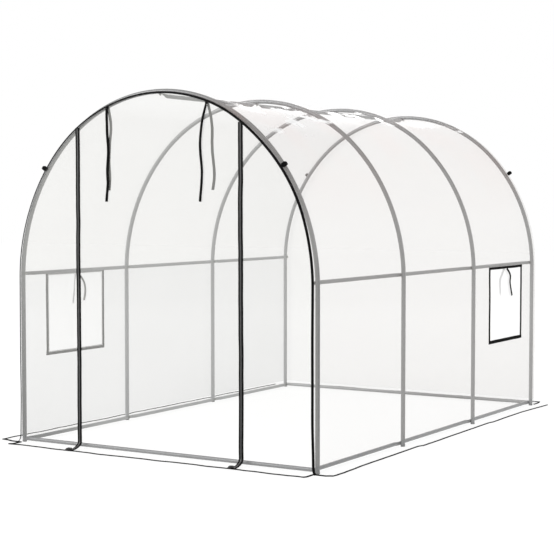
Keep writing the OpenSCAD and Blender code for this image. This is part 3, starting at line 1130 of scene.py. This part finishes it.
def stitches(shape, line, outward, pitch=0.006, length=0.0036):
    """A row of thread stitches lying on a tape."""
    for k, share in marks(line, pitch / 2, pitch):
        ahead = (line[k + 1] - line[k]).normalized()
        up = outward[k]
        side = ahead.cross(up).normalized()
        place = line[k].lerp(line[k + 1], share)
        shape.block(place, side * THREAD_W, up * THREAD_T, ahead * length / 2)


def binding():
    """The folded tape round the front edge of the cover, set aslant between front and side."""
    runs = steps(0.02, -FOOT, -ARCH_LEN, ARCH_LEN, FOOT)
    line = [rim_point(s) + Vector((0, -0.002, 0)) for s in runs]
    outward = [across(s)[1] for s in runs]
    turns = quarter_turn(8)[1:]
    lowest = FOLD_R - BINDING_T
    left = [line[0] + Vector((0, -FOLD_R * (1 - cos(t)), -lowest * sin(t))) for t in reversed(turns)]
    right = [line[-1] + Vector((RIGHT_FOOT_OUT * (1 - cos(t)), 0, -lowest * sin(t))) for t in turns]
    line = left + line + right
    outward = [outward[0]] * len(left) + outward + [outward[-1]] * len(right)
    turned = ellipse(BINDING_W / 2, BINDING_T / 2, 16)
    c, s = cos(BINDING_TURN), sin(BINDING_TURN)
    tape = Shape().sweep(line, outward, lambda i: [(a * c + b * s, b * c - a * s) for a, b in turned])
    thread = Shape()
    ups = [out * s - Vector((0, c, 0)) for out in outward]
    for way in (-1, 1):
        face = []
        for p, out, up in zip(line, outward, ups):
            wide = out * c + Vector((0, s, 0))
            face.append(p + wide * way * BINDING_W * 0.3 + up * BINDING_T * 0.42)
        stitches(thread, face, ups)
    tape.piece("front_binding_tape", BLACK_TAPE, "black_binding", "front_binding")
    thread.piece("front_binding_stitches", THREAD, "black_binding")


# How far from the middle of the binding each door tie is sewn, in front of it or behind
TAB_OFF = 0.0035


def tie_tabs():
    """The door ties' sewn ends, from each tie's top up to the binding."""
    tabs = Shape()
    for seed, (name, places) in enumerate(DOOR_TIES.items()):
        foot = Vector((places[0], middle(name, "y"), DOOR_TIE_TOP + 0.0005))
        run = rim_run(abs(foot.x))
        top = rim_point(run if foot.x > 0 else -run) + Vector((0, 0, -0.003))
        top.y += -TAB_OFF if "outer" in name else TAB_OFF
        tabs.sweep([foot, foot.lerp(top, 0.5), top], tie_facings([foot] * 3, name, seed), tie_outline)
    tabs.piece("door_tie_tabs", BLACK_RIBBON, "tie_ribbon")


def zip_line(side):
    """The zip's path: down the front sheet, round the fold and out over the flap."""
    top = rim_point(side * rim_run(ZIP_X))
    reach = FRONT_Y - ZIP_END
    line = []
    for z in reversed(steps(0.012, SKIRT_TOP, top.z - 0.004)):
        x = zip_x(side, z)
        line.append((Vector((x, front_y(x, z), z)), Vector((0, -1, 0))))
    foot = line[-1][0]
    for turn in quarter_turn(15)[1:]:
        line.append((
            foot + Vector((0, -ZIP_FOLD_OUT * (1 - cos(turn)), -FOLD_R * sin(turn) + 0.001)),
            Vector((0, -FOLD_R * cos(turn), ZIP_FOLD_OUT * sin(turn))).normalized(),
        ))
    for out in steps(0.01, ZIP_FOLD_OUT, reach)[1:]:
        height = flap_lift(40, foot.x - rim_point(-FOOT).x, out) + 0.002
        line.append((Vector((foot.x, foot.y - out, height)), UP))
    return line


ZIP_LIFT = 0.0022
# Half the space between the zip's tapes, which the teeth fill
ZIP_GAP = 0.0022
TOOTH_PITCH = 0.0016
TOOTH_HALF = 0.0011
TOOTH_REACH = 0.0036
TOOTH_OFF = 0.0009
# The slider's sections, as (metres past the zip's end, half width)
SLIDER = [(-0.032, 0.008), (-0.02, 0.0135), (-0.004, 0.0105), (0.008, 0.003)]
SLIDER_MIDDLE, SLIDER_HALF_T = 0.004, 0.0058
# Its pull, as (metres past the zip's end, height)
PULL = [(-0.016, 0.0108), (-0.002, 0.0104), (0.014, 0.003)]
PULL_HALF_T, PULL_HALF_W = 0.0011, 0.0045


def door_zip(side, name):
    """Two tapes with the coil between them, and the slider at the flap's edge."""
    tape, teeth, slider = Shape(), Shape(), Shape()
    path = zip_line(side)
    line = [p + up * ZIP_LIFT for p, up in path]
    outward = [up for _, up in path]
    half = ZIP_W / 2
    for way in (-1, 1):
        centre, width = way * (half + ZIP_GAP) / 2, (half - ZIP_GAP) / 2
        tape.sweep(line, outward, lambda i: [(a, b + centre) for a, b in rounded(0.0007, width, 0.0006)])
    for count, (k, share) in enumerate(marks(line, 0.004, TOOTH_PITCH, spare=0.02)):
        ahead = (line[k + 1] - line[k]).normalized()
        up = outward[k].lerp(outward[k + 1], share).normalized()
        across_zip = ahead.cross(up)
        way = 1 if count % 2 else -1
        place = line[k].lerp(line[k + 1], share) + up * TOOTH_HALF + across_zip * way * TOOTH_OFF
        teeth.block(place, across_zip * TOOTH_REACH, up * TOOTH_HALF, ahead * TOOTH_HALF)
    end, up = line[-1], outward[-1]
    ahead = (line[-1] - line[-2]).normalized()
    body = [end + ahead * past for past, _ in SLIDER]
    sections = [
        [(a + SLIDER_MIDDLE, b) for a, b in rounded(SLIDER_HALF_T, half, 0.0015)] for _, half in SLIDER
    ]
    slider.sweep(body, [up] * 4, lambda i: sections[i])
    pull = [end + ahead * past + up * lift for past, lift in PULL]
    slider.sweep(pull, [up] * 3, lambda i: rounded(PULL_HALF_T, PULL_HALF_W, 0.0009))
    tape.piece(f"{name}_zip_tapes", BLACK_TAPE, "zip_tape", f"{name}_zip")
    teeth.piece(f"{name}_zip_teeth", TEETH, "zip_tape")
    slider.piece(f"{name}_zip_slider", BLACK_PLASTIC, "zip_tape")


BORDER_LIFT = 0.0016
BORDER_LAP = 0.0012
BORDER_PARTS = 24


def border(side, name):
    """The webbing sewn round a window, wider below, with its corners lapped."""
    node = f"{name}_window_border"
    outer_low, outer_high = low(node), high(node)
    inner_low, inner_high = low(f"{name}_window"), high(f"{name}_window")
    tape, thread = Shape(), Shape()
    out = Vector((side, 0, 0))

    def strip(start, end, width, seed, lap):
        """One tape between two (y, z) places, its width across them."""
        line = []
        for k in range(BORDER_PARTS + 1):
            y, z = (blend(a, b, k / BORDER_PARTS) for a, b in zip(start, end))
            wobble = 0.0016 * wave(seed, 0.12, y, z)
            if start[0] == end[0]:
                y += wobble
            else:
                z += wobble
            line.append(cover_point(side * (HALF_LEN - z), y) + out * (BORDER_LIFT + lap))
        ups = [out] * len(line)
        tape.sweep(line, ups, lambda i: rounded(0.0008, width / 2, 0.0006))
        for edge in (-1, 1):
            along = (line[-1] - line[0]).normalized()
            shift = along.cross(out) * edge * (width / 2 - 0.003) + out * 0.0009
            stitches(thread, [p + shift for p in line], ups, 0.005, 0.003)

    for seed, outer, inner in ((60, outer_low.y, inner_low.y), (61, outer_high.y, inner_high.y)):
        y = (outer + inner) / 2
        strip((y, outer_low.z), (y, outer_high.z), inner_low.y - outer_low.y, seed, 0)
    for seed, outer, inner in ((62, outer_low.z, inner_low.z), (63, outer_high.z, inner_high.z)):
        z = (outer + inner) / 2
        strip((outer_low.y, z), (outer_high.y, z), abs(inner - outer), seed, BORDER_LAP)
    tape.piece(f"{name}_window_border_tape", BLACK_TAPE, "black_binding", node)
    thread.piece(f"{name}_window_border_stitches", THREAD, "black_binding")


LOOP_ANGLE = radians(35.3)
LOOP_REACH = 0.024
LOOP_W = 0.024
LOOP_HALF_T = 0.0024
# Half the depth of the square core that the webbing is folded round
CORE_HALF = 0.0105
LOOP_PARTS = 24


def loops():
    """Folded webbing loops at the cover's four shoulders."""
    webbing, thread = Shape(), Shape()
    run = CROWN_LEN + (SPLIT - LOOP_ANGLE) * HAUNCH_R
    for y in (low("tie_loops").y + LOOP_W / 2, high("tie_loops").y - LOOP_W / 2):
        for side in (-1, 1):
            base = cover_point(side * run, y)
            out = across(side * run)[1]
            down = REARWARD.cross(out)
            path = []
            for k in range(LOOP_PARTS + 1):
                turn = tau * k / LOOP_PARTS
                swell = 0.0022 + 0.0042 * sin(turn / 2) ** 2
                swell *= min(1, 3 * sin(turn / 2)) * (1 if k < LOOP_PARTS / 2 else -1)
                path.append(base + out * LOOP_REACH * (0.5 - 0.5 * cos(turn)) + down * swell)
            outward = []
            for k in range(LOOP_PARTS + 1):
                ahead = (path[min(k + 1, LOOP_PARTS)] - path[max(k - 1, 0)]).normalized()
                outward.append(REARWARD.cross(ahead))
            webbing.sweep(path, outward, lambda i: rounded(LOOP_HALF_T, LOOP_W / 2, 0.0008))
            core = [base + out * LOOP_REACH * share for share in (0.02, 0.5, 0.99)]
            webbing.sweep(core, [down] * 3, lambda i: rounded(CORE_HALF, LOOP_W / 2 - 0.001, 0.001))
            for way in (-1, 1):
                face = base + out * 0.006 + down * way * CORE_HALF
                bar = [face + Vector((0, b, 0)) for b in (-0.010, 0.010)]
                stitches(thread, bar, [down * way] * 2, 0.003, 0.0022)
    webbing.piece("tie_loop_webbing", BLACK_TAPE, "black_webbing", "tie_loops")
    thread.piece("tie_loop_stitches", THREAD, "black_webbing")


binding()
tie_tabs()
loops()
for side, name in SIDES:
    door_zip(side, name)
    border(side, name)

# ---------------- floor, world and lamps


def shown_white(n, plain, glow):
    """Mixes in glow for rays that come from the camera, a mirror or glass."""
    rays = n.add("LightPath").outputs
    seen = n.math("MAXIMUM", *[rays[f"Is {kind} Ray"] for kind in ("Camera", "Glossy", "Transmission")])
    return n.add("MixShader", {0: seen, 1: plain, 2: glow}).outputs[0]


def floor():
    """White to the camera but for the object's shadow; plain pale grey to all other light."""
    bpy.ops.mesh.primitive_plane_add(size=60, location=(0, 0, 0))
    made = bpy.context.object
    made.name = "floor"
    material = bpy.data.materials.new("floor_white")
    material.use_nodes = True
    material.node_tree.nodes.clear()
    n = Nodes(material.node_tree)
    plain = n.add("BsdfDiffuse", {"Color": (0.6, 0.6, 0.6, 1)}).outputs[0]
    shadow = n.add("BsdfDiffuse", {"Color": (0.2, 0.2, 0.2, 1)}).outputs[0]
    glow = n.add("Emission", {"Strength": 0.88}).outputs[0]
    both = n.add("AddShader", {0: shadow, 1: glow}).outputs[0]
    n.add("OutputMaterial", {"Surface": shown_white(n, plain, both)})
    made.data.materials.append(material)


def world():
    """Soft white light all round, behind a white backdrop."""
    made = bpy.data.worlds.new("studio")
    bpy.context.scene.world = made
    made.use_nodes = True
    made.node_tree.nodes.clear()
    n = Nodes(made.node_tree)
    plain = n.add("Background", {"Color": (1, 1, 1, 1), "Strength": 0.64}).outputs[0]
    white = n.add("Background", {"Color": (1, 1, 1, 1)}).outputs[0]
    n.add("OutputWorld", {"Surface": shown_white(n, plain, white)})


def lamp(name, place, aim, size, watts):
    data = bpy.data.lights.new(name, "AREA")
    data.shape = "RECTANGLE"
    data.size, data.size_y = size
    data.energy = watts
    made = bpy.data.objects.new(name, data)
    made.location = place
    made.rotation_euler = (Vector(aim) - Vector(place)).to_track_quat("-Z", "Y").to_euler()
    bpy.context.scene.collection.objects.link(made)


def lights():
    lamp("key", (-5.0, -7.0, 5.0), (0, 0, 0.8), (4, 4), 420)
    lamp("top", (0.5, 0, 6.5), (0, 0, 0), (5, 6), 60)
    lamp("back", (-4.4, 9.0, 4.6), (0, 0, 1.9), (4, 3), 70)
    lamp("fill", (8.0, 1.0, 4.0), (0, 0, 0.8), (4, 4), 130)


floor()
world()
lights()
bpy.context.scene.view_settings.view_transform = "Standard"
